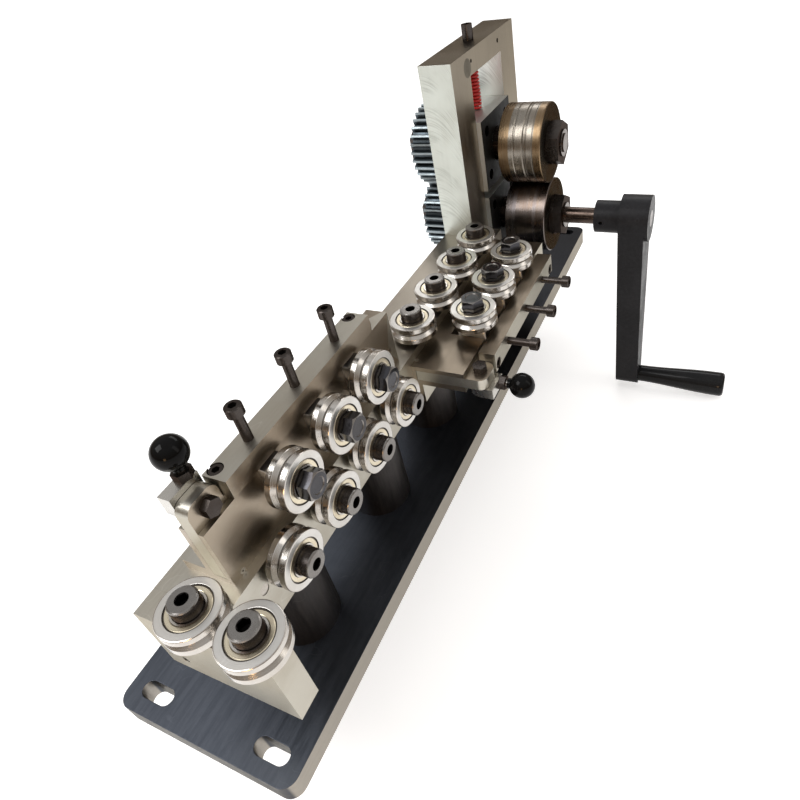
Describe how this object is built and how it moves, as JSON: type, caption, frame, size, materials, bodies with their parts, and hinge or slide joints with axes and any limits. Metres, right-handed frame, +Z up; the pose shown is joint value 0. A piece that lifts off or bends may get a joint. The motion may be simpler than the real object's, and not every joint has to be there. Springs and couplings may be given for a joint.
{
  "type": "hand cranked wire straightener",
  "caption": "Bench wire straightener: two roller banks at right angles on a raised rail, with adjusting screws, quick levers and a geared pair of drive rolls turned by a crank.",
  "frame": {"origin": "middle of the base plate's underside, at the centre of the four slots", "axes": "+X points to the crank side, +Y runs along the wire from the entry rollers to the drive rolls, +Z is up"},
  "size_m": [0.2702, 0.55, 0.3167],
  "materials": {
    "base_black": "satin black with fine rubbing marks",
    "post_black": "blackened, satin",
    "ground_steel": "ground bright, warm",
    "stand_steel": "milled pale plating",
    "block_black": "blackened faces",
    "roller_bright": "polished bearing steel",
    "hub_bright": "polished bearing steel",
    "slide_steel": "ground block with bright hub and black bolt",
    "screw_black": "black oxide",
    "knob_black": "glossy black",
    "lever_plated": "plated",
    "spring_red": "red paint",
    "seat_steel": "turned steel",
    "gear_dark": "dark teeth with bright crests",
    "roll_bronze": "hardened roll with bronze tint",
    "roll_dark": "hardened roll, dark brown and blue",
    "shaft_brown": "brown oxide steel",
    "crank_paint": "dark graphite paint",
    "grip_black": "glossy black"
  },
  "bodies": {
    "frame": {"base_plate": "base_black", "support_posts": "post_black", "rail": "ground_steel", "front_block": "ground_steel", "drive_frame": "stand_steel", "lower_bearing_block": "block_black", "base_screws": "screw_black", "rail_screws": "screw_black", "roller_cap_screws": "screw_black", "roller_hubs": "hub_bright", "back_plates": "ground_steel", "cover_plates": "ground_steel", "pressure_spring": "spring_red"},
    "entry_roller_left": {"entry_roller_left": "roller_bright"},
    "entry_roller_right": {"entry_roller_right": "roller_bright"},
    "lower_roller_1": {"lower_roller_1": "roller_bright"},
    "lower_roller_2": {"lower_roller_2": "roller_bright"},
    "lower_roller_3": {"lower_roller_3": "roller_bright"},
    "lower_roller_4": {"lower_roller_4": "roller_bright"},
    "left_roller_1": {"left_roller_1": "roller_bright"},
    "left_roller_2": {"left_roller_2": "roller_bright"},
    "left_roller_3": {"left_roller_3": "roller_bright"},
    "left_roller_4": {"left_roller_4": "roller_bright"},
    "vertical_carriage": {"vertical_carriage": "ground_steel", "vertical_carriage_screws": "screw_black"},
    "vertical_lever": {"vertical_lever": "lever_plated", "vertical_knob": "knob_black"},
    "upper_slide_1": {"upper_slide_1": "slide_steel"},
    "upper_adjuster_1": {"upper_adjuster_1": "screw_black"},
    "upper_roller_1": {"upper_roller_1": "roller_bright"},
    "upper_slide_2": {"upper_slide_2": "slide_steel"},
    "upper_adjuster_2": {"upper_adjuster_2": "screw_black"},
    "upper_roller_2": {"upper_roller_2": "roller_bright"},
    "upper_slide_3": {"upper_slide_3": "slide_steel"},
    "upper_adjuster_3": {"upper_adjuster_3": "screw_black"},
    "upper_roller_3": {"upper_roller_3": "roller_bright"},
    "side_carriage": {"side_carriage": "ground_steel", "side_carriage_screws": "screw_black"},
    "side_lever": {"side_lever": "lever_plated", "side_knob": "knob_black"},
    "right_slide_1": {"right_slide_1": "slide_steel"},
    "right_adjuster_1": {"right_adjuster_1": "screw_black"},
    "right_roller_1": {"right_roller_1": "roller_bright"},
    "right_slide_2": {"right_slide_2": "slide_steel"},
    "right_adjuster_2": {"right_adjuster_2": "screw_black"},
    "right_roller_2": {"right_roller_2": "roller_bright"},
    "right_slide_3": {"right_slide_3": "slide_steel"},
    "right_adjuster_3": {"right_adjuster_3": "screw_black"},
    "right_roller_3": {"right_roller_3": "roller_bright"},
    "lower_drive": {"lower_shaft": "shaft_brown", "lower_gear": "gear_dark", "lower_roll": "roll_dark", "crank_arm": "crank_paint"},
    "crank_grip": {"crank_grip": "grip_black"},
    "upper_block": {"upper_bearing_block": "block_black"},
    "upper_drive": {"upper_shaft": "shaft_brown", "upper_gear": "gear_dark", "upper_roll": "roll_bronze"},
    "spring_seat": {"spring_seat": "seat_steel"},
    "pressure_screw": {"pressure_screw": "screw_black"}
  },
  "joints": [
    {"name": "entry_roller_left_spin", "type": "hinge", "parent": "frame", "child": "entry_roller_left", "pos_m": [0.0273, -0.249, 0.1024], "axis": [0, 0, 1], "continuous": true},
    {"name": "entry_roller_right_spin", "type": "hinge", "parent": "frame", "child": "entry_roller_right", "pos_m": [0.0593, -0.249, 0.1024], "axis": [0, 0, 1], "continuous": true},
    {"name": "lower_roller_1_spin", "type": "hinge", "parent": "frame", "child": "lower_roller_1", "pos_m": [0.0353, -0.2051, 0.0959], "axis": [1, 0, 0], "continuous": true},
    {"name": "lower_roller_2_spin", "type": "hinge", "parent": "frame", "child": "lower_roller_2", "pos_m": [0.0353, -0.1688, 0.0959], "axis": [1, 0, 0], "continuous": true},
    {"name": "lower_roller_3_spin", "type": "hinge", "parent": "frame", "child": "lower_roller_3", "pos_m": [0.0353, -0.1325, 0.0959], "axis": [1, 0, 0], "continuous": true},
    {"name": "lower_roller_4_spin", "type": "hinge", "parent": "frame", "child": "lower_roller_4", "pos_m": [0.0353, -0.0962, 0.0959], "axis": [1, 0, 0], "continuous": true},
    {"name": "left_roller_1_spin", "type": "hinge", "parent": "frame", "child": "left_roller_1", "pos_m": [0.0288, -0.043, 0.1024], "axis": [0, 0, 1], "continuous": true},
    {"name": "left_roller_2_spin", "type": "hinge", "parent": "frame", "child": "left_roller_2", "pos_m": [0.0288, -0.0067, 0.1024], "axis": [0, 0, 1], "continuous": true},
    {"name": "left_roller_3_spin", "type": "hinge", "parent": "frame", "child": "left_roller_3", "pos_m": [0.0288, 0.0296, 0.1024], "axis": [0, 0, 1], "continuous": true},
    {"name": "left_roller_4_spin", "type": "hinge", "parent": "frame", "child": "left_roller_4", "pos_m": [0.0288, 0.0659, 0.1024], "axis": [0, 0, 1], "continuous": true},
    {"name": "vertical_carriage_lift", "type": "slide", "parent": "frame", "child": "vertical_carriage", "axis": [0, 0, 1], "range_m": [0, 0.0025]},
    {"name": "vertical_lever_turn", "type": "hinge", "parent": "vertical_carriage", "child": "vertical_lever", "pos_m": [0.0157, -0.2191, 0.1444], "axis": [1, 0, 0], "range_deg": [0, 90]},
    {"name": "upper_slide_1_close", "type": "slide", "parent": "vertical_carriage", "child": "upper_slide_1", "axis": [0, 0, -1], "range_m": [-0.0015, 0.005]},
    {"name": "upper_adjuster_1_turn", "type": "hinge", "parent": "upper_slide_1", "child": "upper_adjuster_1", "pos_m": [0.02586, -0.18695, 0.1711], "axis": [0, 0, -1], "range_deg": [-676, 2251]},
    {"name": "upper_roller_1_spin", "type": "hinge", "parent": "upper_slide_1", "child": "upper_roller_1", "pos_m": [0.0353, -0.18695, 0.13], "axis": [1, 0, 0], "continuous": true},
    {"name": "upper_slide_2_close", "type": "slide", "parent": "vertical_carriage", "child": "upper_slide_2", "axis": [0, 0, -1], "range_m": [-0.0015, 0.005]},
    {"name": "upper_adjuster_2_turn", "type": "hinge", "parent": "upper_slide_2", "child": "upper_adjuster_2", "pos_m": [0.02586, -0.15065, 0.1711], "axis": [0, 0, -1], "range_deg": [-676, 2251]},
    {"name": "upper_roller_2_spin", "type": "hinge", "parent": "upper_slide_2", "child": "upper_roller_2", "pos_m": [0.0353, -0.15065, 0.13], "axis": [1, 0, 0], "continuous": true},
    {"name": "upper_slide_3_close", "type": "slide", "parent": "vertical_carriage", "child": "upper_slide_3", "axis": [0, 0, -1], "range_m": [-0.0015, 0.005]},
    {"name": "upper_adjuster_3_turn", "type": "hinge", "parent": "upper_slide_3", "child": "upper_adjuster_3", "pos_m": [0.02586, -0.11435, 0.1711], "axis": [0, 0, -1], "range_deg": [-676, 2251]},
    {"name": "upper_roller_3_spin", "type": "hinge", "parent": "upper_slide_3", "child": "upper_roller_3", "pos_m": [0.0353, -0.11435, 0.13], "axis": [1, 0, 0], "continuous": true},
    {"name": "side_carriage_lift", "type": "slide", "parent": "frame", "child": "side_carriage", "axis": [1, 0, 0], "range_m": [0, 0.0025]},
    {"name": "side_lever_turn", "type": "hinge", "parent": "side_carriage", "child": "side_lever", "pos_m": [0.0773, -0.057, 0.0828], "axis": [0, 0, -1], "range_deg": [0, 90]},
    {"name": "right_slide_1_close", "type": "slide", "parent": "side_carriage", "child": "right_slide_1", "axis": [-1, 0, 0], "range_m": [-0.0015, 0.005]},
    {"name": "right_adjuster_1_turn", "type": "hinge", "parent": "right_slide_1", "child": "right_adjuster_1", "pos_m": [0.104, -0.02485, 0.09296], "axis": [-1, 0, 0], "range_deg": [-676, 2251]},
    {"name": "right_roller_1_spin", "type": "hinge", "parent": "right_slide_1", "child": "right_roller_1", "pos_m": [0.0629, -0.02485, 0.1024], "axis": [0, 0, 1], "continuous": true},
    {"name": "right_slide_2_close", "type": "slide", "parent": "side_carriage", "child": "right_slide_2", "axis": [-1, 0, 0], "range_m": [-0.0015, 0.005]},
    {"name": "right_adjuster_2_turn", "type": "hinge", "parent": "right_slide_2", "child": "right_adjuster_2", "pos_m": [0.104, 0.01145, 0.09296], "axis": [-1, 0, 0], "range_deg": [-676, 2251]},
    {"name": "right_roller_2_spin", "type": "hinge", "parent": "right_slide_2", "child": "right_roller_2", "pos_m": [0.0629, 0.01145, 0.1024], "axis": [0, 0, 1], "continuous": true},
    {"name": "right_slide_3_close", "type": "slide", "parent": "side_carriage", "child": "right_slide_3", "axis": [-1, 0, 0], "range_m": [-0.0015, 0.005]},
    {"name": "right_adjuster_3_turn", "type": "hinge", "parent": "right_slide_3", "child": "right_adjuster_3", "pos_m": [0.104, 0.04775, 0.09296], "axis": [-1, 0, 0], "range_deg": [-676, 2251]},
    {"name": "right_roller_3_spin", "type": "hinge", "parent": "right_slide_3", "child": "right_roller_3", "pos_m": [0.0629, 0.04775, 0.1024], "axis": [0, 0, 1], "continuous": true},
    {"name": "crank_turn", "type": "hinge", "parent": "frame", "child": "lower_drive", "pos_m": [0.1196, 0.14845, 0.0925], "axis": [1, 0, 0], "continuous": true},
    {"name": "crank_grip_spin", "type": "hinge", "parent": "lower_drive", "child": "crank_grip", "pos_m": [0.1395, 0.14845, -0.0663], "axis": [1, 0, 0], "continuous": true},
    {"name": "upper_block_lift", "type": "slide", "parent": "frame", "child": "upper_block", "axis": [0, 0, 1], "range_m": [0, 0.002], "stiffness_N_per_m": 20000, "springref_m": -0.002, "deforming": ["pressure_spring"]},
    {"name": "upper_drive_turn", "type": "hinge", "parent": "upper_block", "child": "upper_drive", "pos_m": [0.0314, 0.14845, 0.1525], "axis": [1, 0, 0], "continuous": true},
    {"name": "pressure_seat_travel", "type": "slide", "parent": "frame", "child": "spring_seat", "axis": [0, 0, -1], "range_m": [0, 0.003], "deforming": ["pressure_spring"]},
    {"name": "pressure_screw_turn", "type": "hinge", "parent": "spring_seat", "child": "pressure_screw", "pos_m": [0.0053, 0.14845, 0.2397], "axis": [0, 0, -1], "range_deg": [0, 865]}
  ],
  "couplings": [
    {"joint": "vertical_lever_turn", "follows": "vertical_carriage_lift", "rad_per_m": 628},
    {"joint": "upper_adjuster_1_turn", "follows": "upper_slide_1_close", "rad_per_m": 7854},
    {"joint": "upper_adjuster_2_turn", "follows": "upper_slide_2_close", "rad_per_m": 7854},
    {"joint": "upper_adjuster_3_turn", "follows": "upper_slide_3_close", "rad_per_m": 7854},
    {"joint": "side_lever_turn", "follows": "side_carriage_lift", "rad_per_m": 628},
    {"joint": "right_adjuster_1_turn", "follows": "right_slide_1_close", "rad_per_m": 7854},
    {"joint": "right_adjuster_2_turn", "follows": "right_slide_2_close", "rad_per_m": 7854},
    {"joint": "right_adjuster_3_turn", "follows": "right_slide_3_close", "rad_per_m": 7854},
    {"joint": "upper_drive_turn", "follows": "crank_turn", "ratio": -1},
    {"joint": "pressure_screw_turn", "follows": "pressure_seat_travel", "rad_per_m": 5026.5}
  ]
}
